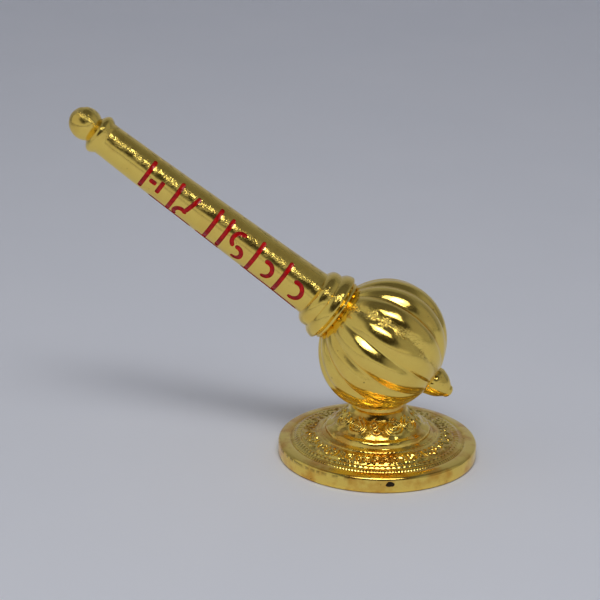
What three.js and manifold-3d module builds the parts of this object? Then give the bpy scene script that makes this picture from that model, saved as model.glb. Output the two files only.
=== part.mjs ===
// A souvenir ceremonial mace: a fluted ball head on a tapered grip, standing on a round
// ornamented foot. Two castings, both gold plated.
//
// Millimetres, +Z up. The origin is the centre of the foot's flat underside. The mace leans
// in the XZ plane: its grip rises towards -X and its pointed finial dips towards +X.
// Along the mace, distances run from the centre of the ball, positive towards the grip's knob.
// Around the mace, angles run from the side that faces -Y towards the upper side.

import * as THREE from 'three';
import { mergeVertices } from 'three/addons/utils/BufferGeometryUtils.js';
import Module from 'manifold-3d';

const wasm = await Module();
wasm.setup();

// --- driving dimensions -----------------------------------------------------------------

const LEAN = THREE.MathUtils.degToRad(35.5);   // of the mace's axis above the horizontal
const BALL_OFFSET = 0.5;                       // ball centre ahead of the foot's axis
const BALL_HEIGHT = 29.4;                      // ball centre above the underside
const SEAT_GAP = 0.35;                         // between the ball and its cup in the foot

const BALL_RADIUS = 17.0;                      // across the mace, on a lobe's crest
const BALL_HALF_LENGTH = 15.5;                 // along the mace: the ball is a little flat
const LOBES = 15;
const FLUTE_DEPTH = 1.1;
const FLUTE_POWER = 2.6;                       // how flat a lobe's crest is
const FLUTE_FLANK = 0.62;                      // share of a half lobe past which its flank is straight

const KNOB_TIP = 95.6;
const KNOB_CAP_BASE = 93.9;
const KNOB_CAP_RADIUS = 3.1;
const KNOB_NECK = [89.1, 3.42];
const GRIP_RING_TOP = [88.7, 3.5];
const GRIP_RING_FOOT = [85.2, 4.5];
const GRIP_TOP = [81.3, 4.33];
const GRIP_FOOT = [21.6, 5.88];
const BEND_START = 60;                         // past here the grip is a little bent upwards
const BEND_LIFT = 0.3;                         // how far its tip is lifted by the bend
const COLLAR_GROOVE = [18.25, 7.6];
const COLLAR_FOOT = [14.6, 7.75];
const COLLAR_BEAD_FOOT = [13.2, 7.6];

const FINIAL_ROOT = [-15.3, 3.95];
const FINIAL_WAIST = [-20.0, 1.75];
const FINIAL_TIP = -21.4;
const FINIAL_LIFT = 0.35;                      // the finial sits a little above the axis

const STROKE_WIDTH = 1.2;
const STROKE_DEPTH = 0.3;
const LINE_ANGLE = -59;                        // the dashes along the grip that end the bars
const STROKE_CLEARANCE = 0.6;                  // how far a stroke's cutter stands proud

const FOOT_RADIUS = 25;
const RIM_HEIGHT = 3.3;
const NECK_RADIUS = 6.45;
const NECK_TOP = 14.4;
const CONE_FOOT = [11.3, 8.5];
const CONE_TOP = [7.3, 12.9];
const LEAF_INNER = 15.3;
const LEAF_OUTER = 19.2;
const LEAVES = 24;
const LEAF_RISE = 0.35;
const SCROLLS = 12;
const SCROLL_WIDTH = 0.9;
const SCROLL_RISE = 0.4;
const SCROLL_SINK = 0.25;                      // how deep a scroll's underside lies in the cone
const SCROLL_START_RADIUS = 1.95;
const SCROLL_END_RADIUS = 0.7;
const SCROLL_TURN = 1.1;                       // turns that one volute makes

const GRIP_SIDES = 24;
const FINIAL_SIDES = 20;
const BALL_SIDES = LOBES * 4;
const BALL_RINGS = 13;
const FOOT_SIDES = LEAVES * 3;
const SEAT_SIDES = 32;
const SCROLL_STEPS = 7;
const BAR_STEPS = 4;
const CRESCENT_STEPS = 5;

// --- materials --------------------------------------------------------------------------

const gildedZinc = new THREE.MeshStandardMaterial({
  color: 0xc9a13a, roughness: 0.22, metalness: 1,
});

// --- profiles: lists of [x, y] points, run in steps --------------------------------------

// Points after `from` up to `to`, bowed sideways by `rise` in the middle.
function bow(from, to, rise, steps) {
  const along = new THREE.Vector2(to[0] - from[0], to[1] - from[1]);
  const side = new THREE.Vector2(along.y, -along.x).normalize().multiplyScalar(rise);
  const points = [];
  for (let i = 1; i <= steps; i += 1) {
    const t = i / steps;
    const swell = Math.sin(Math.PI * t);
    points.push([
      from[0] + along.x * t + side.x * swell,
      from[1] + along.y * t + side.y * swell,
    ]);
  }
  return points;
}

// Quarter ellipse from the tip on the axis to the given radius at the base.
function dome(tip, base, radius, steps) {
  const points = [];
  for (let i = 0; i <= steps; i += 1) {
    const angle = (Math.PI / 2) * (i / steps);
    points.push([base + (tip - base) * Math.cos(angle), radius * Math.sin(angle)]);
  }
  return points;
}

// --- solids -----------------------------------------------------------------------------

function toSolid(geometry) {
  const bare = geometry.clone();
  bare.deleteAttribute('normal');
  bare.deleteAttribute('uv');
  const merged = mergeVertices(bare, 1e-4);
  return new wasm.Manifold(new wasm.Mesh({
    numProp: 3,
    vertProperties: merged.attributes.position.array,
    triVerts: new Uint32Array(merged.index.array),
  }));
}

function toMesh(name, solid, material) {
  const cut = solid.getMesh();
  const geometry = new THREE.BufferGeometry();
  geometry.setAttribute('position', new THREE.BufferAttribute(cut.vertProperties, 3));
  geometry.setIndex(new THREE.BufferAttribute(cut.triVerts, 1));
  geometry.computeVertexNormals();
  const mesh = new THREE.Mesh(geometry, material);
  mesh.name = name;
  return mesh;
}

// A turned shape: points are [radius, height], and shape(vertex, angle) may move each vertex.
function turned(points, sides, shape) {
  const outline = points.map(([radius, height]) => new THREE.Vector2(radius, height));
  const geometry = new THREE.LatheGeometry(outline, sides);
  if (shape) {
    const position = geometry.attributes.position;
    const vertex = new THREE.Vector3();
    for (let i = 0; i < position.count; i += 1) {
      vertex.fromBufferAttribute(position, i);
      shape(vertex, Math.atan2(vertex.x, vertex.z));
      position.setXYZ(i, vertex.x, vertex.y, vertex.z);
    }
  }
  return geometry;
}

// A closed body through loops of points, with a flat fan on each end.
function loft(loops) {
  const size = loops[0].length;
  const corners = [];
  const faces = [];
  for (const loop of loops) {
    for (const point of loop) {
      corners.push(point.x, point.y, point.z);
    }
  }
  for (let i = 0; i + 1 < loops.length; i += 1) {
    for (let j = 0; j < size; j += 1) {
      const a = i * size + j;
      const b = i * size + ((j + 1) % size);
      faces.push(a, b, b + size, a, b + size, a + size);
    }
  }
  const last = (loops.length - 1) * size;
  for (let j = 1; j + 1 < size; j += 1) {
    faces.push(0, j + 1, j, last, last + j, last + j + 1);
  }
  const geometry = new THREE.BufferGeometry();
  geometry.setAttribute('position', new THREE.Float32BufferAttribute(corners, 3));
  geometry.setIndex(faces);
  return geometry;
}

// --- placing ----------------------------------------------------------------------------

// The mace's own frame: Y along it towards the knob, Z on the side that faces -Y of the row.
const maceUp = new THREE.Vector3(Math.sin(LEAN), 0, Math.cos(LEAN));
const maceAlong = new THREE.Vector3(-Math.cos(LEAN), 0, Math.sin(LEAN));
const maceFront = new THREE.Vector3(0, -1, 0);
const macePlace = new THREE.Matrix4()
  .makeBasis(maceUp, maceAlong, maceFront)
  .setPosition(BALL_OFFSET, 0, BALL_HEIGHT);

const standUpright = new THREE.Matrix4().makeRotationX(Math.PI / 2);

// --- mace -------------------------------------------------------------------------------

function gripGeometry() {
  const outline = [
    ...dome(KNOB_TIP, KNOB_CAP_BASE, KNOB_CAP_RADIUS, 3),
    ...bow([KNOB_CAP_BASE, KNOB_CAP_RADIUS], KNOB_NECK, 0.8, 6),
    GRIP_RING_TOP,
    ...bow(GRIP_RING_TOP, GRIP_RING_FOOT, 1.3, 6),
    ...bow(GRIP_RING_FOOT, GRIP_TOP, -0.2, 3),
    GRIP_FOOT,
    ...bow(GRIP_FOOT, COLLAR_GROOVE, 0.75, 5),
    ...bow(COLLAR_GROOVE, COLLAR_FOOT, 1.38, 7),
    ...bow(COLLAR_FOOT, COLLAR_BEAD_FOOT, 0.3, 2),
    [BALL_HALF_LENGTH / 2, COLLAR_BEAD_FOOT[1]],
    [BALL_HALF_LENGTH / 2, 0],
  ];
  const points = outline.map(([along, radius]) => [radius, along]).reverse();
  return turned(points, GRIP_SIDES, (vertex) => {
    const past = Math.max(0, vertex.y - BEND_START) / (KNOB_TIP - BEND_START);
    vertex.x += BEND_LIFT * past ** 2;
  });
}

function finialGeometry() {
  const outline = [
    [-BALL_HALF_LENGTH / 2, 0],
    [-BALL_HALF_LENGTH / 2, FINIAL_ROOT[1] + 0.8],
    [FINIAL_ROOT[0] + 0.6, FINIAL_ROOT[1] + 0.6],
    FINIAL_ROOT,
    ...bow(FINIAL_ROOT, FINIAL_WAIST, 0.45, 4),
    ...dome(FINIAL_TIP, FINIAL_WAIST[0], FINIAL_WAIST[1], 3).reverse().slice(1),
  ];
  const points = outline.map(([along, radius]) => [radius, along]).reverse();
  return turned(points, FINIAL_SIDES).translate(FINIAL_LIFT, 0, 0);
}

// How far the surface drops at an angle: nothing on a lobe's crest, most in the flute.
function fluteDrop(angle) {
  const lobe = (angle * LOBES) / (2 * Math.PI);
  const offCrest = 2 * Math.abs(lobe - Math.round(lobe));
  const onCrest = Math.min(offCrest, FLUTE_FLANK);
  const slope = FLUTE_POWER * FLUTE_FLANK ** (FLUTE_POWER - 1);
  const inFlute = FLUTE_FLANK ** FLUTE_POWER + slope * (1 - FLUTE_FLANK);
  return (FLUTE_DEPTH * (onCrest ** FLUTE_POWER + slope * (offCrest - onCrest))) / inFlute;
}

function ballOutline(extra, rings) {
  const points = [];
  for (let i = 0; i <= rings; i += 1) {
    const angle = Math.PI * (i / rings);
    const radius = (BALL_RADIUS + extra) * Math.sin(angle);
    points.push([radius, -(BALL_HALF_LENGTH + extra) * Math.cos(angle)]);
  }
  points[0][0] = 0;
  points[rings][0] = 0;
  return points;
}

function ballGeometry() {
  return turned(ballOutline(0, BALL_RINGS), BALL_SIDES, (vertex, angle) => {
    const radius = Math.hypot(vertex.x, vertex.z);
    if (radius > 0) {
      const shrink = 1 - fluteDrop(angle) / BALL_RADIUS;
      vertex.x *= shrink;
      vertex.z *= shrink;
    }
  });
}

function gripRadiusAt(along) {
  const share = (along - GRIP_FOOT[0]) / (GRIP_TOP[0] - GRIP_FOOT[0]);
  return THREE.MathUtils.lerp(GRIP_FOOT[1], GRIP_TOP[1], share);
}

// A cutter for one engraved stroke: centre(t) gives its place as [along, angle in degrees].
function strokeGeometry(centre, width, steps) {
  const loops = [];
  for (let i = 0; i <= steps; i += 1) {
    const [along, degrees] = centre(i / steps);
    const before = centre((i - 0.5) / steps);
    const after = centre((i + 0.5) / steps);
    const radius = gripRadiusAt(along);
    const aroundPerDegree = THREE.MathUtils.degToRad(radius);
    const run = new THREE.Vector2(
      after[0] - before[0],
      (after[1] - before[1]) * aroundPerDegree,
    ).normalize().multiplyScalar(width / 2);
    const loop = [];
    for (const [side, reach] of [[1, -STROKE_DEPTH], [-1, -STROKE_DEPTH],
      [-1, STROKE_CLEARANCE], [1, STROKE_CLEARANCE]]) {
      const edgeAlong = along - run.y * side;
      const edgeAngle = (degrees * aroundPerDegree + run.x * side) / radius;
      const edgeRadius = gripRadiusAt(edgeAlong) + reach;
      loop.push(new THREE.Vector3(
        edgeRadius * Math.sin(edgeAngle),
        edgeAlong,
        edgeRadius * Math.cos(edgeAngle),
      ));
    }
    loops.push(loop);
  }
  return loft(loops);
}

// A straight stroke round the grip, which may lean along it.
function bar(along, fromAngle, toAngle, leanBy = 0) {
  const centre = (t) => [
    along + leanBy * (t - 0.5),
    THREE.MathUtils.lerp(fromAngle, toAngle, t),
  ];
  return strokeGeometry(centre, STROKE_WIDTH, BAR_STEPS);
}

// A crescent: part of a circle drawn on the grip's surface, open on one side.
function crescent(along, angle, radius, fromTurn, toTurn) {
  const degreesPerMillimetre = 1 / THREE.MathUtils.degToRad(gripRadiusAt(along));
  const centre = (t) => {
    const turn = THREE.MathUtils.degToRad(THREE.MathUtils.lerp(fromTurn, toTurn, t));
    return [
      along + radius * Math.cos(turn),
      angle + radius * Math.sin(turn) * degreesPerMillimetre,
    ];
  };
  return strokeGeometry(centre, STROKE_WIDTH, CRESCENT_STEPS);
}

// A straight stroke along the grip.
function dash(fromAlong, toAlong, angle) {
  const centre = (t) => [THREE.MathUtils.lerp(fromAlong, toAlong, t), angle];
  return strokeGeometry(centre, STROKE_WIDTH, 1);
}

// The enamelled band of plain marks along the grip, from the knob's end to the collar's.
function strokeGeometries() {
  return [
    bar(72.1, 62, -50),
    dash(70.9, 68.9, 0),
    bar(67.7, 20, -24),
    bar(63.4, 56, -54),
    bar(58.7, 46, -14, 1.4),
    crescent(60.2, -34, 1.6, -60, 140),
    bar(52.0, 62, -56),
    bar(48.3, 56, -50),
    crescent(44.2, 12, 2.0, -70, 110),
    crescent(43.6, -22, 1.6, 60, 290),
    bar(39.0, 54, -54),
    crescent(35.4, -8, 2.0, 60, 270),
    bar(30.6, 52, -54),
    crescent(26.6, -6, 2.2, 60, 280),
    dash(69.0, 56.2, LINE_ANGLE),
    dash(54.6, 47.4, LINE_ANGLE),
    dash(40.4, 23.0, LINE_ANGLE),
  ];
}

function maceSolid() {
  let solid = toSolid(gripGeometry())
    .add(toSolid(ballGeometry()))
    .add(toSolid(finialGeometry()));
  for (const geometry of strokeGeometries()) {
    solid = solid.subtract(toSolid(geometry));
  }
  return solid;
}

// --- foot -------------------------------------------------------------------------------

function footOutline() {
  return [
    [0, 0],
    [FOOT_RADIUS - 0.5, 0],
    [FOOT_RADIUS, 0.5],
    [FOOT_RADIUS, RIM_HEIGHT],
    ...bow([FOOT_RADIUS, RIM_HEIGHT], [24.0, 4.1], 0.2, 2),
    [22.3, 4.3],
    [21.8, 4.1],
    ...bow([21.8, 4.1], [20.8, 4.6], 0.3, 2),
    ...bow([20.8, 4.6], [19.4, 4.9], 0.4, 2),
    [LEAF_OUTER, 5.2],
    [LEAF_INNER, 6.0],
    [14.9, 6.0],
    ...bow([14.9, 6.0], [14.0, 6.3], 0.35, 2),
    [13.0, 6.9],
    ...bow([13.0, 6.9], CONE_FOOT, 0.55, 3),
    CONE_TOP,
    [7.0, 13.2],
    [NECK_RADIUS, 13.4],
    [NECK_RADIUS, NECK_TOP],
    [0, NECK_TOP],
  ];
}

// Leaves round the foot's shoulder: each rises to a rib and dips to its neighbour.
function leafRise(radius, angle) {
  if (radius < LEAF_INNER || radius > LEAF_OUTER) {
    return 0;
  }
  const across = Math.cos(angle * LEAVES);
  const outward = (radius - LEAF_INNER) / (LEAF_OUTER - LEAF_INNER);
  return LEAF_RISE * across * (0.4 + 0.6 * outward);
}

function footGeometry() {
  return turned(footOutline(), FOOT_SIDES, (vertex, angle) => {
    vertex.y += leafRise(Math.hypot(vertex.x, vertex.z), angle);
  });
}

// A place on the foot's inner cone: how far up it, from 0 to 1, and at what angle round it.
function onCone(share, angle) {
  const radius = THREE.MathUtils.lerp(CONE_FOOT[0], CONE_TOP[0], share);
  const height = THREE.MathUtils.lerp(CONE_FOOT[1], CONE_TOP[1], share);
  return new THREE.Vector3(radius * Math.sin(angle), height, radius * Math.cos(angle));
}

// A point of the volute that lies on the cone round the given angle, wound inwards.
function volutePoint(angle, t) {
  const slope = Math.hypot(CONE_TOP[0] - CONE_FOOT[0], CONE_TOP[1] - CONE_FOOT[1]);
  const middle = (CONE_FOOT[0] + CONE_TOP[0]) / 2;
  const turn = Math.PI * (2 * SCROLL_TURN * t - 0.6);
  const reach = THREE.MathUtils.lerp(SCROLL_START_RADIUS, SCROLL_END_RADIUS, t);
  const share = 0.5 + (reach * Math.sin(turn)) / slope;
  return onCone(share, angle + (reach * Math.cos(turn)) / middle);
}

// A raised ridge, triangular in section, along one volute.
function scrollGeometry(angle) {
  const rise = CONE_TOP[1] - CONE_FOOT[1];
  const run = CONE_FOOT[0] - CONE_TOP[0];
  const loops = [];
  for (let i = 0; i <= SCROLL_STEPS; i += 1) {
    const t = i / SCROLL_STEPS;
    const point = volutePoint(angle, t);
    const flat = new THREE.Vector2(point.x, point.z).normalize().multiplyScalar(rise);
    const outward = new THREE.Vector3(flat.x, run, flat.y).normalize();
    const ahead = volutePoint(angle, t + 0.01).sub(volutePoint(angle, t - 0.01));
    const side = new THREE.Vector3().crossVectors(outward, ahead)
      .setLength(SCROLL_WIDTH / 2);
    const under = point.clone().addScaledVector(outward, -SCROLL_SINK);
    loops.push([
      under.clone().sub(side),
      under.clone().add(side),
      point.clone().addScaledVector(outward, SCROLL_RISE),
    ]);
  }
  return loft(loops);
}

// The ball's shape, a gap larger all round, in the place where the ball sits.
function seatCutter() {
  return toSolid(turned(ballOutline(SEAT_GAP, SEAT_SIDES / 2), SEAT_SIDES)
    .applyMatrix4(macePlace));
}

function footSolid() {
  let solid = toSolid(footGeometry().applyMatrix4(standUpright));
  for (let i = 0; i < SCROLLS; i += 1) {
    const scroll = scrollGeometry((2 * Math.PI * i) / SCROLLS);
    solid = solid.add(toSolid(scroll.applyMatrix4(standUpright)));
  }
  return solid.subtract(seatCutter());
}

// --- assembly ---------------------------------------------------------------------------

const mace = toMesh('mace', maceSolid(), gildedZinc);
mace.applyMatrix4(macePlace);

const group = new THREE.Group();
group.add(mace, toMesh('base', footSolid(), gildedZinc));

export default group;
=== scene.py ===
"""A souvenir ceremonial mace, gold plated, leaning on its round ornamented foot.

The mace is one casting, turned in shape, with a fluted ball head, a collar, a long grip with a
band of red enamelled marks, and a knob. The foot is a second casting, covered in low relief.
Lengths below are millimetres, and each piece is brought to metres when it is put in place.
"""

import math
import random

import bpy
import numpy as np
from mathutils import Matrix, Vector, noise


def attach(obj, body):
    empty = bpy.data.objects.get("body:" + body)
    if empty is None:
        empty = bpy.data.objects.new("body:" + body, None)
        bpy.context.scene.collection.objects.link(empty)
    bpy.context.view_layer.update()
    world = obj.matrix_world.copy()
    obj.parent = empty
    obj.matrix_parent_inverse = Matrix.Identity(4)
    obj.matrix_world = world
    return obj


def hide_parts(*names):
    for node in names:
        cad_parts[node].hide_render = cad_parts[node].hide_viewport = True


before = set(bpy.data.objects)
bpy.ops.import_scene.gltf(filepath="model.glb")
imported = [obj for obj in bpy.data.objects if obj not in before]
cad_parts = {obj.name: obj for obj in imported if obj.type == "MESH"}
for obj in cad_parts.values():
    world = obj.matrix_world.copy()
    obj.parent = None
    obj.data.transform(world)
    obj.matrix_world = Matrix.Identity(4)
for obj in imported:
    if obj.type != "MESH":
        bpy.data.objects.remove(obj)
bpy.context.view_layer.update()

MM = 0.001

# --- the mace, as distances from the ball's centre along its axis, and radii ---------------

LEAN = math.radians(35.5)               # the axis above the horizontal
BALL_CENTRE = (0.5, 0.0, 29.4)
BALL_RADIUS = 17.0                      # across the axis, on a lobe's crest
BALL_HALF_LENGTH = 15.5                 # along the axis
LOBES = 15
FLUTE_DEPTH = 1.1
FLUTE_POWER = 2.6                       # how flat a lobe's crest is
FLUTE_FLANK = 0.62                      # share of a half lobe past which its flank is straight

GRIP_TOP = (81.3, 4.33)
GRIP_FOOT = (21.6, 5.88)
GRIP_HOLLOW = 0.13                      # the grip is a little hollow towards the collar
COLLAR_GROOVE = (18.3, 7.58)
COLLAR_EDGE = (16.1, 9.02)
COLLAR_LIP = (15.45, 8.95)
COLLAR_FOOT = (14.75, 8.1)
COLLAR_BEAD_FOOT = (13.85, 7.55)
BEND_START = 60.0                       # past here the grip bends up a little
BEND_LIFT = 0.3
KNOB_TIP = 95.6
KNOB_MIDDLE = 91.3
KNOB_RADIUS = 4.1
KNOB_LOWER_LENGTH = 4.0                 # the knob's lower half, if it weren't cut off at its neck
KNOB_CAP_LINE = 94.15                   # a shallow dent half round the knob
KNOB_NECK = (88.95, 3.3)
RING_TOP = (88.8, 3.45)
RING_FOOT = (85.4, 4.25)
FINIAL_ROOT = (-15.07, 3.95)
FINIAL_SHOULDER = (-16.4, 3.78)
FINIAL_WAIST = (-20.0, 1.75)
FINIAL_TIP = -21.4
FINIAL_LIFT = 0.35                      # the finial sits a little above the axis

STROKE_WIDTH = 1.3
STROKE_DEPTH = 0.26
LINE_ANGLE = -59.0                      # the dashes along the grip that end the bars

SEAM_ANGLE = math.radians(36.0)         # where the two halves of the mould met
SEAM_WIDTH = 1.4                        # on the grip
BALL_SEAM_WIDTH = 2.3
SPECKS_ANGLE = math.radians(86)         # a line of rough specks along the grip's upper side

MACE_SIDES = LOBES * 21

# --- the foot, as (height, radius) ---------------------------------------------------------

FOOT_SIDES = 720
RIM_RADIUS = 25.0
RIM_CHAMFER_TOP = (0.4, RIM_RADIUS)
RIM_TOP = (3.3, RIM_RADIUS)
SHOULDER_ROLL = (4.05, 24.1)
SHOULDER_INNER = (4.3, 22.4)
RING_GROOVE = (4.1, 21.85)
BEADS_OUTER = (4.6, 20.85)
BEADS_INNER = (4.95, 19.4)
LEAVES_OUTER = (5.15, 19.2)
LEAVES_INNER = (6.0, 15.3)
STEP_EDGE = (6.05, 14.9)
STEP_FOOT = (6.3, 14.1)
ROLL_FOOT = (6.75, 13.3)
CONE_FOOT = (8.3, 11.8)
CONE_TOP = (11.5, 8.1)
FLARE_TOP = (13.0, 7.15)
NECK_RING = (13.3, 6.9)
NECK_RADIUS = 6.45
NECK_FOOT = (13.5, NECK_RADIUS)
NECK_TOP = 14.4
SEAT_GAP = 0.12                         # the ball sits this close in the neck

BEADS = 90
DOTS = 172                              # the fine ring outside the beads
LEAVES = 24
LEAF_RING_RADIUS = 17.25
LEAF_RISE = 0.3
VOLUTES = 12
VOLUTE_RING_RADIUS = 9.3
VOLUTE_RISE = 0.3
CONE_STRETCH = 1.35                     # a length up the cone for each length of radius
SCALLOPS = 14
BLOCKS = 84                             # on the step above the leaves
SHADED_NOTCHES = 110                             # painted shade: dark notches in the film colour outside the beads
FILE_MARK_SPACING = 0.62
HOLE_ANGLE = math.radians(11.5)         # the casting hole, round from the front
HOLE_HEIGHT = 2.45


# --- the room: how bright its sides are, as linear RGB -------------------------------------

LEFT_WALL = (0.43, 0.44, 0.46)
RIGHT_WALL = (0.29, 0.295, 0.31)
BACK_WALL = (0.20, 0.205, 0.22)
CEILING = (0.10, 0.10, 0.11)
DARK_AT_LAMP = (0.03, 0.027, 0.022)     # the unlit wall that the lamp stands before
TABLE_EDGE = (0.48, 0.49, 0.52)         # the far end of the table, level with the mace

CAMERA_PLACE = (31.35, -512.67, 221.44)
CAMERA_TURN = (70.5925, -1.0420, 6.1228)
CAMERA_LENS = 132


# --- materials -----------------------------------------------------------------------------

def linear(hex_colour):
    """An sRGB hex colour as linear RGBA."""
    channels = [int(hex_colour[i:i + 2], 16) / 255 for i in (1, 3, 5)]
    return [c / 12.92 if c <= 0.04045 else ((c + 0.055) / 1.055) ** 2.4 for c in channels] + [1]


def add_node(material, kind, inputs=None, **settings):
    """A new node with its settings; an input is a value, or a socket that is linked to it."""
    tree = material.node_tree
    node = tree.nodes.new(kind)
    for name, value in settings.items():
        setattr(node, name, value)
    for name, value in (inputs or {}).items():
        if isinstance(value, bpy.types.NodeSocket):
            tree.links.new(value, node.inputs[name])
        else:
            node.inputs[name].default_value = value
    return node


def new_material(name):
    material = bpy.data.materials.new(name)
    material.use_nodes = True
    material.node_tree.nodes.clear()
    return material


def finish_material(material, shader):
    add_node(material, "ShaderNodeOutputMaterial", {"Surface": shader.outputs["BSDF"]})
    return material


def gold_plate(name, grain_mm, grain_depth, tarnish):
    """Gold electroplated on a zinc casting: bright warm mirror, softened by the casting's grain.

    The plate is thin, so small pits stay open and dark; hollows keep a brown film, part of it
    painted shade.
    """
    material = new_material(name)
    place = add_node(material, "ShaderNodeTexCoord").outputs["Object"]
    grain = add_node(material, "ShaderNodeTexNoise", {
        "Vector": place, "Scale": 1 / (grain_mm * MM), "Detail": 3.0, "Roughness": 0.6})
    swell = add_node(material, "ShaderNodeTexNoise", {
        "Vector": place, "Scale": 1 / (3.5 * MM), "Detail": 2.0, "Roughness": 0.5})
    pits = add_node(material, "ShaderNodeTexVoronoi", {
        "Vector": place, "Scale": 1 / (1.7 * MM), "Randomness": 1.0}, feature="F1")
    patches = add_node(material, "ShaderNodeTexNoise", {
        "Vector": place, "Scale": 1 / (6.0 * MM), "Detail": 3.0, "Roughness": 0.6})
    seam = add_node(material, "ShaderNodeAttribute", attribute_name="seam")
    film_and_shade = add_node(material, "ShaderNodeAttribute", attribute_name="film_and_shade")

    pit_spot = add_node(material, "ShaderNodeMapRange", {
        "Value": pits.outputs["Distance"], "From Min": 0.07, "From Max": 0.12,
        "To Min": 1.0, "To Max": 0.0})
    pit_patch = add_node(material, "ShaderNodeMapRange", {
        "Value": patches.outputs["Fac"], "From Min": 0.5, "From Max": 0.62})
    pitted = add_node(material, "ShaderNodeMath", {
        0: pit_spot.outputs["Result"], 1: pit_patch.outputs["Result"]}, operation="MULTIPLY")
    film_and_shade_edge = add_node(material, "ShaderNodeMath", {
        0: film_and_shade.outputs["Fac"], 1: grain.outputs["Fac"]}, operation="MULTIPLY")
    dirt_and_shade = add_node(material, "ShaderNodeMath", {
        0: film_and_shade_edge.outputs[0], 1: pitted.outputs[0]}, operation="MAXIMUM", use_clamp=True)

    colour = add_node(material, "ShaderNodeMix", {
        "Factor": patches.outputs["Fac"], "A": linear("#FBDD70"), "B": linear("#F7D56A")},
        data_type="RGBA")
    reddened = add_node(material, "ShaderNodeMapRange", {
        "Value": patches.outputs["Fac"], "From Min": 0.46, "From Max": 0.62, "To Max": tarnish})
    colour = add_node(material, "ShaderNodeMix", {
        "Factor": reddened.outputs["Result"], "A": colour.outputs["Result"],
        "B": linear("#D89A3A")}, data_type="RGBA")
    # The brown here is film, pits and also painted shade, wherever the film attribute holds it.
    colour = add_node(material, "ShaderNodeMix", {
        "Factor": dirt_and_shade.outputs[0], "A": colour.outputs["Result"], "B": linear("#4A3210")},
        data_type="RGBA")
    roughness = add_node(material, "ShaderNodeMapRange", {
        "Value": grain.outputs["Fac"], "From Min": 0.3, "From Max": 0.7,
        "To Min": 0.10, "To Max": 0.20})
    fine = add_node(material, "ShaderNodeBump", {
        "Height": grain.outputs["Fac"], "Distance": grain_depth * MM, "Strength": 1.0})
    broad = add_node(material, "ShaderNodeBump", {
        "Height": swell.outputs["Fac"], "Distance": 0.03 * MM, "Strength": 1.0,
        "Normal": fine.outputs["Normal"]})
    crumbs = add_node(material, "ShaderNodeTexNoise", {
        "Vector": place, "Scale": 1 / (0.55 * MM), "Detail": 2.0, "Roughness": 0.7})
    crumb_height = add_node(material, "ShaderNodeMath", {
        0: crumbs.outputs["Fac"], 1: seam.outputs["Fac"]}, operation="MULTIPLY")
    crumbled = add_node(material, "ShaderNodeBump", {
        "Height": crumb_height.outputs[0], "Distance": 0.4 * MM, "Strength": 1.0,
        "Normal": broad.outputs["Normal"]})
    shader = add_node(material, "ShaderNodeBsdfPrincipled", {
        "Base Color": colour.outputs["Result"], "Metallic": 1.0,
        "Roughness": roughness.outputs["Result"], "Normal": crumbled.outputs["Normal"]})
    return finish_material(material, shader)


def red_enamel():
    """Cold enamel brushed into the cut marks: deep glossy red, thin enough to pool unevenly."""
    material = new_material("red_cold_enamel")
    place = add_node(material, "ShaderNodeTexCoord").outputs["Object"]
    pooling = add_node(material, "ShaderNodeTexNoise", {
        "Vector": place, "Scale": 1 / (1.1 * MM), "Detail": 2.0, "Roughness": 0.55})
    depth = add_node(material, "ShaderNodeMapRange", {
        "Value": pooling.outputs["Fac"], "From Min": 0.35, "From Max": 0.65})
    colour = add_node(material, "ShaderNodeMix", {
        "Factor": depth.outputs["Result"], "A": linear("#A00006"), "B": linear("#D20C0C")},
        data_type="RGBA")
    bump = add_node(material, "ShaderNodeBump", {
        "Height": pooling.outputs["Fac"], "Distance": 0.12 * MM, "Strength": 1.0})
    shader = add_node(material, "ShaderNodeBsdfPrincipled", {
        "Base Color": colour.outputs["Result"], "Roughness": 0.22, "IOR": 1.5,
        "Specular IOR Level": 0.3, "Normal": bump.outputs["Normal"]})
    return finish_material(material, shader)


def bare_casting_with_painted_shade():
    """Zinc alloy that the plate didn't reach, deep in a casting hole: dull, with painted shade
    making it near black.
    """
    material = new_material("bare_zinc_and_shade_in_pit")
    place = add_node(material, "ShaderNodeTexCoord").outputs["Object"]
    grit = add_node(material, "ShaderNodeTexNoise", {
        "Vector": place, "Scale": 1 / (0.4 * MM), "Detail": 3.0})
    colour = add_node(material, "ShaderNodeMix", {
        "Factor": grit.outputs["Fac"], "A": linear("#120B04"), "B": linear("#4A3614")},
        data_type="RGBA")
    shader = add_node(material, "ShaderNodeBsdfPrincipled", {
        "Base Color": colour.outputs["Result"], "Roughness": 0.6, "Metallic": 0.4})
    return finish_material(material, shader)


def paper(name, colour, patch_mm):
    """Matt photographic paper, very slightly uneven in tone."""
    material = new_material(name)
    place = add_node(material, "ShaderNodeTexCoord").outputs["Object"]
    tone = add_node(material, "ShaderNodeTexNoise", {
        "Vector": place, "Scale": 1 / (patch_mm * MM), "Detail": 2.0})
    mixed = add_node(material, "ShaderNodeMix", {
        "Factor": tone.outputs["Fac"], "A": linear(colour[0]), "B": linear(colour[1])},
        data_type="RGBA")
    shader = add_node(material, "ShaderNodeBsdfPrincipled", {
        "Base Color": mixed.outputs["Result"], "Roughness": 0.75, "IOR": 1.45})
    return finish_material(material, shader)


# --- outlines: lists of (along, radius), in steps ------------------------------------------

def bow(start, end, rise, steps):
    """Points after start up to end, bowed outwards by rise in the middle."""
    run = Vector(end) - Vector(start)
    side = Vector((run.y, -run.x)).normalized() * rise
    points = []
    for i in range(1, steps + 1):
        t = i / steps
        points.append(tuple(Vector(start) + run * t + side * math.sin(math.pi * t)))
    return points


def dome(tip, base, radius, steps):
    """A quarter ellipse from the tip on the axis to the given radius at the base."""
    turns = [math.pi / 2 * i / steps for i in range(steps + 1)]
    return [(base + (tip - base) * math.cos(a), radius * math.sin(a)) for a in turns]


# --- modelling -----------------------------------------------------------------------------

def select_only(piece):
    """Selects one piece, so that the next operator acts on it alone."""
    bpy.ops.object.select_all(action="DESELECT")
    piece.select_set(True)
    bpy.context.view_layer.objects.active = piece


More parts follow.
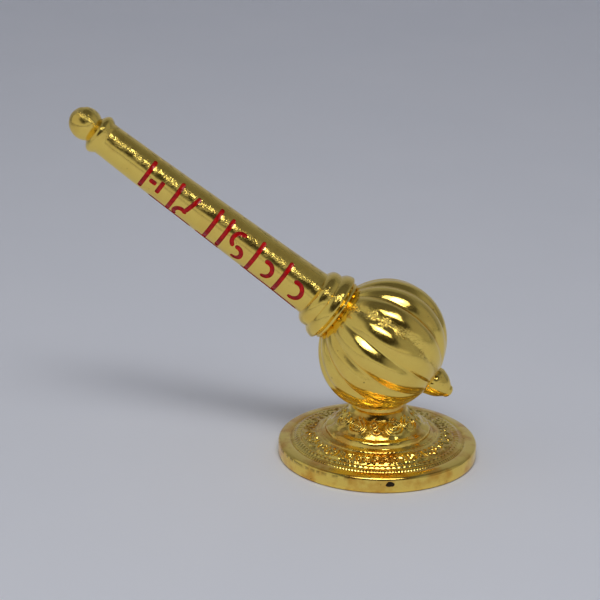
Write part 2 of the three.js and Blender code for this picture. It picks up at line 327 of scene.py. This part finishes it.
def spin_blank(name, outline, sides):
    """A vertex drawn out along the outline (height, radius), then spun into a closed blank."""
    bpy.ops.object.select_all(action="DESELECT")
    height, radius = outline[0]
    bpy.ops.mesh.primitive_plane_add(size=0.1, location=(0, 0, 0))
    blank = bpy.context.object
    blank.name = name
    bpy.ops.object.mode_set(mode="EDIT")
    bpy.ops.mesh.select_all(action="SELECT")
    bpy.ops.mesh.merge(type="CENTER")
    bpy.ops.transform.translate(value=(radius, 0, height))
    for (last_height, last_radius), (height, radius) in zip(outline, outline[1:]):
        move = (radius - last_radius, 0, height - last_height)
        bpy.ops.mesh.extrude_vertices_move(TRANSFORM_OT_translate={"value": move})
    bpy.ops.mesh.select_all(action="SELECT")
    bpy.ops.mesh.spin(steps=sides, angle=2 * math.pi, center=(0, 0, 0), axis=(0, 0, 1))
    bpy.ops.mesh.select_all(action="SELECT")
    bpy.ops.mesh.remove_doubles(threshold=0.001)
    bpy.ops.mesh.normals_make_consistent(inside=False)
    bpy.ops.object.mode_set(mode="OBJECT")
    return blank


def turn_faces_out(piece):
    select_only(piece)
    bpy.ops.object.mode_set(mode="EDIT")
    bpy.ops.mesh.select_all(action="SELECT")
    bpy.ops.mesh.normals_make_consistent(inside=False)
    bpy.ops.object.mode_set(mode="OBJECT")


def points_of(piece):
    points = np.empty(len(piece.data.vertices) * 3, np.float32)
    piece.data.vertices.foreach_get("co", points)
    return points.reshape(-1, 3).astype(float)


def put_points(piece, points):
    piece.data.vertices.foreach_set("co", points.astype(np.float32).ravel())
    piece.data.update()


def normals_of(piece):
    normals = np.empty(len(piece.data.vertices) * 3, np.float32)
    piece.data.vertex_normals.foreach_get("vector", normals)
    return normals.reshape(-1, 3).astype(float)


def put_attribute(piece, name, values):
    layer = piece.data.attributes.new(name, "FLOAT", "POINT")
    layer.data.foreach_set("value", np.clip(values, 0, 1).astype(np.float32))


def rough(points, size, seed):
    """Smooth noise from -1 to 1 at each point, with waves about size millimetres long."""
    shift = Vector((seed * 17.3, seed * 5.1, seed * 9.7))
    return np.array([noise.noise(Vector(p) / size + shift) for p in points])


def step(low, high, values):
    """0 below low, 1 above high, smooth between."""
    t = np.clip((values - low) / (high - low), 0, 1)
    return t * t * (3 - 2 * t)


def put_in_place(piece, placing, materials):
    """Brings a piece from millimetres in its own frame to its place in the row frame."""
    piece.data.transform(placing @ Matrix.Scale(MM, 4))
    piece.data.update()
    for index, material in enumerate(materials):
        if index < len(piece.data.materials):
            piece.data.materials[index] = material
        else:
            piece.data.materials.append(material)
    select_only(piece)
    bpy.ops.object.shade_smooth_by_angle(angle=math.radians(50))


# --- mace ----------------------------------------------------------------------------------

def grip_radius(along):
    """The grip's radius: a straight taper, a little hollow towards the collar."""
    share = (along - GRIP_FOOT[0]) / (GRIP_TOP[0] - GRIP_FOOT[0])
    taper = GRIP_FOOT[1] + (GRIP_TOP[1] - GRIP_FOOT[1]) * share
    return taper - GRIP_HOLLOW * np.sin(np.pi * np.clip(share, 0, 1) ** 0.55)


def ball_outline(collar_radius, finial_radius, steps):
    """The ball's section from the collar round to the finial."""
    start = math.asin(collar_radius / BALL_RADIUS)
    end = math.pi - math.asin(finial_radius / BALL_RADIUS)
    turns = [start + (end - start) * i / steps for i in range(steps + 1)]
    return [(BALL_HALF_LENGTH * math.cos(a), BALL_RADIUS * math.sin(a)) for a in turns]


def mace_outline():
    """From the knob's tip to the finial's: (along, radius) pairs."""
    grip_steps = 70
    grip = []
    for i in range(1, grip_steps):
        along = GRIP_TOP[0] + (GRIP_FOOT[0] - GRIP_TOP[0]) * i / grip_steps
        grip.append((along, float(grip_radius(along))))
    return [
        *dome(KNOB_TIP, KNOB_MIDDLE, KNOB_RADIUS, 16),
        *dome(KNOB_MIDDLE - KNOB_LOWER_LENGTH, KNOB_MIDDLE, KNOB_RADIUS, 12)[::-1][1:8],
        KNOB_NECK,
        *bow(RING_TOP, RING_FOOT, 1.2, 14),
        *bow(RING_FOOT, GRIP_TOP, -0.03, 8),
        *grip,
        GRIP_FOOT,
        *bow(GRIP_FOOT, COLLAR_GROOVE, 0.78, 12),
        *bow(COLLAR_GROOVE, COLLAR_EDGE, 0.3, 8),
        *bow(COLLAR_EDGE, COLLAR_LIP, 0.08, 2),
        *bow(COLLAR_LIP, COLLAR_FOOT, 0.0, 3),
        *bow(COLLAR_FOOT, COLLAR_BEAD_FOOT, 0.28, 6),
        *ball_outline(COLLAR_BEAD_FOOT[1], FINIAL_ROOT[1], 88)[1:],
        *bow(FINIAL_ROOT, FINIAL_SHOULDER, 0.0, 3),
        *bow(FINIAL_SHOULDER, FINIAL_WAIST, 0.28, 9),
        *dome(FINIAL_TIP, *FINIAL_WAIST, 5)[::-1][1:],
    ]


def flute_drop(off_crest):
    """How deep the surface lies at a share of the way from a lobe's crest to the flute."""
    crest = np.minimum(off_crest, FLUTE_FLANK)
    slope = FLUTE_POWER * FLUTE_FLANK ** (FLUTE_POWER - 1)
    in_flute = FLUTE_FLANK ** FLUTE_POWER + slope * (1 - FLUTE_FLANK)
    return FLUTE_DEPTH * (crest ** FLUTE_POWER + slope * (off_crest - crest)) / in_flute


def shape_mace(blank):
    """Flutes the ball, bends the grip, roughens the mould seam, and adds a hand's dents."""
    points = points_of(blank)
    along = points[:, 2]
    radius = np.hypot(points[:, 0], points[:, 1])
    angle = np.arctan2(points[:, 1], points[:, 0])

    on_ball = step(14.1, 13.8, along) * step(-15.5, -15.1, along)
    lobe = angle * LOBES / (2 * math.pi)
    off_crest = 2 * np.abs(lobe - np.round(lobe))
    inwards = on_ball * flute_drop(off_crest) * radius / BALL_RADIUS

    on_axis = np.c_[along * 0, along * 0, along]
    wander = 0.2 * rough(on_axis, 6.0, 1)
    width = SEAM_WIDTH + (BALL_SEAM_WIDTH - SEAM_WIDTH) * step(14.5, 13.0, along)
    seam = np.zeros(len(points))
    for side in (SEAM_ANGLE, SEAM_ANGLE - math.pi):
        offset = np.angle(np.exp(1j * (angle - side))) * radius + wander
        seam = np.maximum(seam, np.exp(-(2 * offset / width) ** 2))
    seam *= step(-15.0, -13.5, along)
    dents = 0.035 * rough(points, 6.0, 2) + 0.015 * rough(points, 1.6, 3)
    flash = 0.11 * seam * rough(points, 0.7, 4)
    cap_line = np.exp(-((along - KNOB_CAP_LINE) / 0.3) ** 2)
    cap_line *= step(0.2, 0.9, np.sin(angle - 0.2))
    out = (dents + flash - inwards - 0.16 * cap_line) * np.clip(radius / 3.0, 0, 1)
    scale = np.where(radius > 1e-6, (radius + out) / np.maximum(radius, 1e-6), 1.0)
    points[:, :2] *= scale[:, None]

    past = np.clip((along - BEND_START) / (KNOB_TIP - BEND_START), 0, None)
    points[:, 1] += BEND_LIFT * past ** 2
    points[:, 1] += FINIAL_LIFT * step(-14.6, -16.2, along)
    put_points(blank, points)

    seam *= 0.35 + 0.65 * step(-0.35, 0.25, rough(points, 2.2, 5))
    specks = np.exp(-((angle - SPECKS_ANGLE) / 0.09) ** 2)
    specks *= step(0.1, 0.4, rough(points, 1.2, 7)) * step(20.0, 24.0, along)
    in_flute = on_ball * off_crest ** 20
    put_attribute(blank, "seam", seam + 0.8 * specks)
    put_attribute(blank, "film_and_shade", 0.9 * in_flute * step(0.0, 0.5, rough(points, 3.0, 6)))


def stroke_cutter(centre, steps):
    """A bar along a path on the grip: centre(t) gives its place as (along, angle in degrees).

    Its floor is a little hollow, its walls slope, and its ends are rounded.
    """
    bpy.ops.object.select_all(action="DESELECT")
    columns = 4
    bpy.ops.mesh.primitive_grid_add(x_subdivisions=steps, y_subdivisions=columns, size=1)
    cutter = bpy.context.object
    bpy.ops.object.mode_set(mode="EDIT")
    bpy.ops.mesh.select_all(action="SELECT")
    bpy.ops.mesh.extrude_region_move(TRANSFORM_OT_translate={"value": (0, 0, 1)})
    bpy.ops.object.mode_set(mode="OBJECT")

    places = []
    for x, y, z in points_of(cutter):
        t = x + 0.5
        along, degrees = centre(t)
        before = centre(t - 0.01)
        after = centre(t + 0.01)
        radius = float(grip_radius(along))
        run = Vector((after[0] - before[0], math.radians(after[1] - before[1]) * radius))
        length = run.length / 0.02
        run.normalize()
        from_end = min(t, 1 - t) * length
        rounding = math.sqrt(max(0.0, 1 - max(0.0, 1 - from_end / (0.45 * STROKE_WIDTH)) ** 2))
        across = y * 2
        slope = 1.0 if z > 0.5 else 0.86
        side = across * STROKE_WIDTH / 2 * slope * (0.45 + 0.55 * rounding)
        edge_along = along - run.y * side
        edge_angle = math.radians(degrees) + run.x * side / radius
        floor = -STROKE_DEPTH * (1.0 - 0.3 * across ** 2)
        reach = float(grip_radius(edge_along)) + (0.6 if z > 0.5 else floor)
        places.append((reach * math.cos(edge_angle), reach * math.sin(edge_angle), edge_along))
    put_points(cutter, np.array(places))
    turn_faces_out(cutter)
    return cutter


def bar(along, start, end, lean_by=0.0):
    """A straight stroke round the grip, which may lean along it."""
    def centre(t):
        return along + lean_by * (t - 0.5), start + (end - start) * t
    return stroke_cutter(centre, 24)


def crescent(along, angle, radius, start, end):
    """Part of a circle drawn on the grip, open on one side."""
    degrees_per_mm = math.degrees(1 / float(grip_radius(along)))

    def centre(t):
        turn = math.radians(start + (end - start) * t)
        return along + radius * math.cos(turn), angle + radius * math.sin(turn) * degrees_per_mm
    return stroke_cutter(centre, 20)


def dash(start, end, angle):
    """A straight stroke along the grip."""
    def centre(t):
        return start + (end - start) * t, angle
    return stroke_cutter(centre, 24)


def mark_cutters():
    """The band of plain marks along the grip, from the knob's end to the collar's."""
    return [
        bar(72.1, 62, -50),
        dash(70.9, 68.9, 0),
        bar(67.7, 20, -24),
        bar(63.4, 56, -54),
        bar(58.7, 46, -14, 1.4),
        crescent(60.2, -34, 1.6, -60, 140),
        bar(52.0, 62, -56),
        bar(48.3, 56, -50),
        crescent(44.2, 12, 2.0, -70, 110),
        crescent(43.6, -22, 1.6, 60, 290),
        bar(39.0, 54, -54),
        crescent(35.4, -8, 2.0, 60, 270),
        bar(30.6, 52, -54),
        crescent(26.6, -6, 2.2, 60, 280),
        dash(69.0, 56.2, LINE_ANGLE),
        dash(54.6, 47.4, LINE_ANGLE),
        dash(40.4, 23.0, LINE_ANGLE),
    ]


def apply_boolean(piece, cutter, operation):
    select_only(piece)
    modifier = piece.modifiers.new("cut", "BOOLEAN")
    modifier.operation = operation
    modifier.solver = "MANIFOLD"
    modifier.object = cutter
    bpy.ops.object.modifier_apply(modifier=modifier.name)
    bpy.data.objects.remove(cutter)


def gilded_mace(gold, enamel):
    piece = spin_blank("gilded_mace", mace_outline(), MACE_SIDES)
    shape_mace(piece)
    cutters = mark_cutters()
    marks = cutters[0]
    for cutter in cutters[1:]:
        apply_boolean(marks, cutter, "UNION")
    for mesh in (piece.data, marks.data):
        mesh.materials.clear()
        mesh.materials.append(gold)
        mesh.materials.append(enamel)
    marks.data.polygons.foreach_set("material_index", [1] * len(marks.data.polygons))
    apply_boolean(piece, marks, "DIFFERENCE")

    up = Vector((math.sin(LEAN), 0, math.cos(LEAN)))
    axis = Vector((-math.cos(LEAN), 0, math.sin(LEAN)))
    front = Vector((0, -1, 0))
    turn = Matrix((front, up, axis)).transposed().to_4x4()
    put_in_place(piece, Matrix.Translation(Vector(BALL_CENTRE) * MM) @ turn, (gold, enamel))
    return piece


# --- foot ----------------------------------------------------------------------------------

def foot_outline():
    """From the centre of the underside, out to the rim, up and in to the cup under the ball."""
    return [
        (0.0, 0.0),
        (0.0, 12.0),
        (0.0, 24.3),
        (0.12, 24.8),
        RIM_CHAMFER_TOP,
        *bow(RIM_CHAMFER_TOP, RIM_TOP, 0.0, 4),
        *bow(RIM_TOP, SHOULDER_ROLL, -0.22, 5),
        *bow(SHOULDER_ROLL, SHOULDER_INNER, -0.05, 7),
        *bow(SHOULDER_INNER, RING_GROOVE, 0.0, 2),
        *bow(RING_GROOVE, BEADS_OUTER, -0.12, 6),
        *bow(BEADS_OUTER, BEADS_INNER, -0.35, 8),
        LEAVES_OUTER,
        *bow(LEAVES_OUTER, LEAVES_INNER, 0.0, 24),
        *bow(LEAVES_INNER, STEP_EDGE, 0.0, 2),
        *bow(STEP_EDGE, STEP_FOOT, -0.25, 5),
        *bow(STEP_FOOT, ROLL_FOOT, 0.0, 3),
        *bow(ROLL_FOOT, CONE_FOOT, -0.5, 11),
        *bow(CONE_FOOT, CONE_TOP, -0.1, 24),
        *bow(CONE_TOP, FLARE_TOP, 0.1, 7),
        *bow(FLARE_TOP, NECK_RING, -0.05, 2),
        *bow(NECK_RING, NECK_FOOT, 0.0, 2),
        *bow(NECK_FOOT, (NECK_TOP - 0.1, NECK_RADIUS), 0.0, 3),
        (NECK_TOP, NECK_RADIUS - 0.12),
        (NECK_TOP, NECK_RADIUS - 0.5),
        *cup_outline(6),
    ]


def cup_outline(steps):
    """The hollow that the ball sits in, down to the axis."""
    reach = (BALL_RADIUS + BALL_HALF_LENGTH) / 2 + SEAT_GAP
    mouth = NECK_RADIUS - 0.7
    points = []
    for i in range(steps + 1):
        radius = mouth * (1 - i / steps)
        points.append((BALL_CENTRE[2] - math.sqrt(reach ** 2 - radius ** 2), radius))
    return points


def stroke_distance(points, path):
    """How far each flat point is from a path of flat points."""
    nearest = np.full(len(points), np.inf)
    for start, end in zip(path, path[1:]):
        start = np.array(start)
        run = np.array(end) - start
        share = np.clip(((points - start) @ run) / (run @ run), 0, 1)
        to_path = points - start - share[:, None] * run
        nearest = np.minimum(nearest, np.linalg.norm(to_path, axis=1))
    return nearest


def arc(centre, radius, start, end, steps=10):
    """Flat points on an arc, angles in degrees; radius may be a pair, which makes a spiral."""
    first, last = radius if isinstance(radius, tuple) else (radius, radius)
    path = []
    for i in range(steps + 1):
        t = i / steps
        turn = math.radians(start + (end - start) * t)
        size = first + (last - first) * t
        path.append((centre[0] + size * math.cos(turn), centre[1] + size * math.sin(turn)))
    return path


def ridge(distance, width):
    """A rounded ridge's height, 1 at its middle and 0 past its width."""
    return np.clip(1 - (distance / (width / 2)) ** 2, 0, 1)


def around(angle, radius, count, index, at_radius):
    """Flat coordinates, in millimetres, about the middle of one of count equal sectors."""
    middle = 2 * math.pi * index / count
    offset = np.angle(np.exp(1j * (angle - middle)))
    return offset * at_radius, radius - at_radius


def leaf_relief(angle, radius, seed):
    """A ring of curled leaves: in each sector a hook round a curl, and a stem with commas."""
    dice = random.Random(seed)
    height = np.zeros(len(angle))
    for index in range(LEAVES):
        across, outwards = around(angle, radius, LEAVES, index, LEAF_RING_RADIUS)
        flip = 1 if index % 2 else -1
        near = (np.abs(across) < 3.2) & (np.abs(outwards) < 2.4)
        flat = np.c_[across[near] * flip, outwards[near]]
        flat[:, 0] += dice.uniform(-0.2, 0.2) * flat[:, 1]
        marks = [
            (arc((-1.0, 0.15), 1.3, 70, 285), 0.75),
            (arc((-0.85, 0.0), (0.5, 0.3), 200, 430), 0.5),
            (arc((2.6, -0.2), 2.2, 130, 205), 0.8),
            (arc((1.3, 0.7), (0.75, 0.4), 100, -120), 0.6),
            (arc((1.5, -1.1), 0.7, -20, 150), 0.6),
            (arc((-0.1, 2.4), 0.9, 215, 325), 0.6),
        ]
        for path, width in marks:
            raised = ridge(stroke_distance(flat, path), width * dice.uniform(0.85, 1.15))
            height[near] = np.maximum(height[near], raised * dice.uniform(0.75, 1.1))
    return height


def volute_relief(angle, radius, seed):
    """Whorls of nested arcs on the cone, and after each two of them a curl like an S."""
    dice = random.Random(seed)
    height = np.zeros(len(angle))
    for index in range(VOLUTES):
        across, outwards = around(angle, radius, VOLUTES, index, VOLUTE_RING_RADIUS)
        flip = 1 if index % 2 else -1
        near = (np.abs(across) < 3.2) & (np.abs(outwards) < 2.4)
        flat = np.c_[across[near] * flip, outwards[near] * CONE_STRETCH]
        whorl = [
            (arc((0.1, 0.0), 2.15, -60, 215, 16), 0.75),
            (arc((0.0, 0.0), 1.25, -90, 200, 12), 0.6),
            (arc((0.0, 0.0), 0.35, 0, 360, 6), 0.55),
            (arc((0.0, -2.6), 0.8, 30, 150), 0.5),
        ]
        curl = [
            (arc((-0.5, 0.9), (1.2, 0.6), -60, 230, 14), 0.7),
            (arc((0.6, -0.9), (1.1, 0.6), 120, 400, 14), 0.65),
            (arc((0.0, -2.9), 0.35, 0, 360, 5), 0.6),
        ]
        marks = curl if index % 3 == 0 else whorl
        for path, width in marks:
            raised = ridge(stroke_distance(flat, path), width * dice.uniform(0.9, 1.15))
            height[near] = np.maximum(height[near], raised * dice.uniform(0.85, 1.1))
    return height


def shape_foot(blank):
    """Raises the ornament ring by ring, and adds the unevenness of a worn mould."""
    points = points_of(blank)
    normals = normals_of(blank)
    height = points[:, 2]
    radius = np.hypot(points[:, 0], points[:, 1])
    angle = np.arctan2(points[:, 0], -points[:, 1])
    top = step(3.2, 3.6, height) * (height > 3.4)

    def band(inner, outer, fade=0.12):
        """1 between two radii on the foot's top, fading at both."""
        inside = step(outer + fade, outer - fade, radius)
        return top * step(inner - fade, inner + fade, radius) * inside

    wobble = rough(np.c_[10 * np.cos(angle), 10 * np.sin(angle), radius * 0.3], 1.1, 11)
    dots = np.cos(angle * DOTS + 0.8 * wobble)
    bead = np.abs(np.cos(angle * BEADS / 2 + 0.3 * wobble)) ** 0.7
    blocks = step(-0.2, 0.4, np.cos(angle * BLOCKS + 0.5 * wobble))
    scallop = np.abs(np.sin(angle * SCALLOPS / 2))

    raised = 0.06 * dots * band(21.3, 21.9)
    raised += (0.16 * bead - 0.1) * band(19.45, 20.65)
    leaf_band = band(15.35, 19.15)
    leaves = leaf_relief(angle, radius, 3) * leaf_band
    raised += LEAF_RISE * leaves
    raised += 0.12 * (1 + 0.4 * wobble) * band(18.75, 19.05, 0.2)
    raised += 0.05 * blocks * band(14.2, 14.75)
    roll_band = band(10.9, 13.1, 0.5)
    raised += 0.2 * (scallop - 0.5) * roll_band
    cone_band = band(7.5, 11.0, 0.2) * step(6.9, 7.3, radius)
    volutes = volute_relief(angle, radius, 5) * cone_band
    raised += VOLUTE_RISE * volutes
    oblique = np.cos(2 * math.pi * (angle * 24 + radius) / FILE_MARK_SPACING)
    filed = step(0.5, 0.4, np.abs(angle + 0.36) / 0.35) * band(23.0, 24.5, 0.3)
    raised -= 0.05 * filed * np.clip(oblique, 0, 1)

    grit = 0.012 * rough(points, 0.55, 12) + 0.03 * rough(points, 2.4, 13)
    carved = leaf_band + cone_band + roll_band
    raised += grit * np.clip(0.3 + carved, 0, 1) * (height > 0.3)
    points += normals * raised[:, None]

    points[:, 2] = np.where(height < 1e-4, 0.0, points[:, 2])
    put_points(blank, points)

    on_side = (height > 0.2) & (height < 3.5)
    # ground and groove are the recesses of the relief; the film laid in them is partly brown
    # patina and partly painted shade.
    ground = np.clip(leaf_band - leaves * 1.6, 0, 1) + np.clip(cone_band - volutes * 1.6, 0, 1)
    patchy = step(-0.1, 0.45, rough(points, 1.3, 14))
    groove = band(21.7, 22.1) + band(19.15, 19.5) + band(14.0, 14.3)
    left = step(0.35, 0.75, -np.sin(angle - 0.3))
    worn = np.exp(-((height - 3.35) / 0.35) ** 2) * on_side * left
    worn *= step(-0.25, 0.2, rough(points, 1.0, 15))
    # Painted shade: dark notches on the left of the bead ring, painted into the colour rather
    # than cut.
    notch_shade = band(20.2, 21.2) * np.clip(np.cos(angle * SHADED_NOTCHES), 0, 1)
    notch_shade = notch_shade * step(0.6, 0.9, -np.sin(angle - 0.2))
    # film: painted shade over a brown patina in the ground and grooves, real wear on the rim
    # edge, painted shade in the notches.
    film_and_shade = (0.3 + 0.6 * patchy) * ground + 0.5 * groove * patchy + 1.6 * worn + 1.2 * notch_shade
    put_attribute(blank, "film_and_shade", film_and_shade)
    put_attribute(blank, "seam", 0.12 * np.clip(carved, 0, 1) * patchy + 0.5 * worn)


def casting_hole(gold, pit):
    """A cutter for the ragged hole that a gas bubble left in the rim's front."""
    bpy.ops.object.select_all(action="DESELECT")
    bpy.ops.mesh.primitive_ico_sphere_add(subdivisions=3, radius=1.0)
    cutter = bpy.context.object
    points = points_of(cutter)
    points *= (1 + 0.35 * rough(points, 0.8, 21))[:, None]
    place = np.array([
        RIM_RADIUS * math.sin(HOLE_ANGLE), -RIM_RADIUS * math.cos(HOLE_ANGLE), HOLE_HEIGHT])
    put_points(cutter, points * np.array([1.0, 0.6, 0.75]) + place)
    cutter.data.materials.append(gold)
    cutter.data.materials.append(pit)
    cutter.data.polygons.foreach_set("material_index", [1] * len(cutter.data.polygons))
    return cutter


def gilded_foot(gold, pit):
    piece = spin_blank("gilded_foot", foot_outline(), FOOT_SIDES)
    shape_foot(piece)
    piece.data.materials.append(gold)
    piece.data.materials.append(pit)
    apply_boolean(piece, casting_hole(gold, pit), "DIFFERENCE")
    put_in_place(piece, Matrix.Identity(4), (gold, pit))
    return piece


# --- floor, light and camera ---------------------------------------------------------------

def paper_sheet(name, corners, material):
    """A flat sheet through four corners."""
    bpy.ops.object.select_all(action="DESELECT")
    bpy.ops.mesh.primitive_plane_add(size=1)
    sheet = bpy.context.object
    sheet.name = name
    put_points(sheet, np.array(corners))
    sheet.data.materials.append(material)
    return sheet


def studio_floor():
    """Grey paper on the table, and the paper behind it, which meets it in a fold."""
    fold = 0.62
    slant = math.tan(math.radians(3.5))
    back = [fold - 3 * slant, fold + 3 * slant]
    floor = [(-3, -3, 0), (3, -3, 0), (-3, back[0], 0), (3, back[1], 0)]
    wall = [(-3, back[0], 0), (3, back[1], 0), (-3, back[0] + 0.8, 2.2), (3, back[1] + 0.8, 2.2)]
    paper_sheet("floor", floor, paper("grey_table_paper", ("#E6E9F2", "#EBEDF5"), 60.0))
    paper_sheet("backdrop", wall, paper("grey_back_paper", ("#DFE2EE", "#E4E6F1"), 90.0))


def direction(azimuth, elevation):
    """A unit vector; azimuth 0 is the camera's side, -Y, and positive turns towards +X."""
    azimuth = math.radians(azimuth)
    elevation = math.radians(elevation)
    flat = math.cos(elevation)
    return Vector((flat * math.sin(azimuth), -flat * math.cos(azimuth), math.sin(elevation)))


def soft_box(name, azimuth, elevation, distance, width, height, power):
    """A lamp behind a sheet of cloth, facing the mace; sizes in metres."""
    light = bpy.data.lights.new(name, "AREA")
    light.shape = "RECTANGLE"
    light.size = width
    light.size_y = height
    light.energy = power
    lamp = bpy.data.objects.new(name, light)
    towards = direction(azimuth, elevation)
    lamp.location = towards * distance + Vector((0, 0, 0.03))
    lamp.rotation_euler = towards.to_track_quat("Z", "Y").to_euler()
    bpy.context.scene.collection.objects.link(lamp)
    return lamp


def grey_room():
    """A grey room, as it shows in the gold: dim overhead, and dark about the lamp."""
    world = bpy.data.worlds.new("grey_room")
    world.use_nodes = True
    world.node_tree.nodes.clear()
    bpy.context.scene.world = world
    look = add_node(world, "ShaderNodeTexCoord").outputs["Generated"]

    def towards(azimuth, elevation, start, end):
        """1 towards a direction, 0 away from it; start and end are degrees off it."""
        lined_up = add_node(world, "ShaderNodeVectorMath", {
            0: look, 1: direction(azimuth, elevation)}, operation="DOT_PRODUCT")
        return add_node(world, "ShaderNodeMapRange", {
            "Value": lined_up.outputs["Value"], "From Min": math.cos(math.radians(end)),
            "From Max": math.cos(math.radians(start))}, interpolation_type="SMOOTHSTEP")

    height = add_node(world, "ShaderNodeSeparateXYZ", {"Vector": look}).outputs["Z"]
    near_level = add_node(world, "ShaderNodeMapRange", {
        "Value": height, "From Min": math.sin(math.radians(15)),
        "From Max": math.sin(math.radians(8))}, interpolation_type="SMOOTHSTEP")
    in_front = towards(-5, 0, 50, 85)
    table_glow = add_node(world, "ShaderNodeMath", {
        0: near_level.outputs["Result"], 1: in_front.outputs["Result"]}, operation="MULTIPLY")
    colour = None
    for shade, part in (
            (LEFT_WALL, towards(-75, 0, 40, 88).outputs["Result"]),
            (RIGHT_WALL, towards(85, 5, 20, 60).outputs["Result"]),
            (CEILING, towards(0, 90, 26, 48).outputs["Result"]),
            (DARK_AT_LAMP, towards(4, 48, 28, 44).outputs["Result"]),
            (TABLE_EDGE, table_glow.outputs[0])):
        below = colour.outputs["Result"] if colour else (*BACK_WALL, 1)
        colour = add_node(world, "ShaderNodeMix", {
            "Factor": part, "A": below, "B": (*shade, 1)}, data_type="RGBA")
    background = add_node(world, "ShaderNodeBackground", {"Color": colour.outputs["Result"]})
    add_node(world, "ShaderNodeOutputWorld", {"Surface": background.outputs["Background"]})


def view_camera():
    """Above and in front of the foot, the camera rolled a little and aimed up past the mace."""
    data = bpy.data.cameras.new("view_camera")
    data.lens = CAMERA_LENS
    camera = bpy.data.objects.new("view_camera", data)
    camera.location = Vector(CAMERA_PLACE) * MM
    camera.rotation_euler = [math.radians(a) for a in CAMERA_TURN]
    bpy.context.scene.collection.objects.link(camera)
    bpy.context.scene.camera = camera


# --- assembly ------------------------------------------------------------------------------

smooth_gold = gold_plate("gold_plate_on_polished_casting", 0.5, 0.012, 0.1)
relief_gold = gold_plate("gold_plate_on_relief_casting", 0.4, 0.014, 0.7)

mace = gilded_mace(smooth_gold, red_enamel())
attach(mace, "root")
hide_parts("mace")

foot = gilded_foot(relief_gold, bare_casting_with_painted_shade())
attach(foot, "root")
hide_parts("base")

studio_floor()
grey_room()
soft_box("key_soft_box", 6, 62, 1.0, 0.72, 0.42, 3.0)
soft_box("key_lamp", 8, 62, 0.98, 0.36, 0.2, 1.5)
view_camera()
bpy.context.scene.view_settings.view_transform = "Standard"
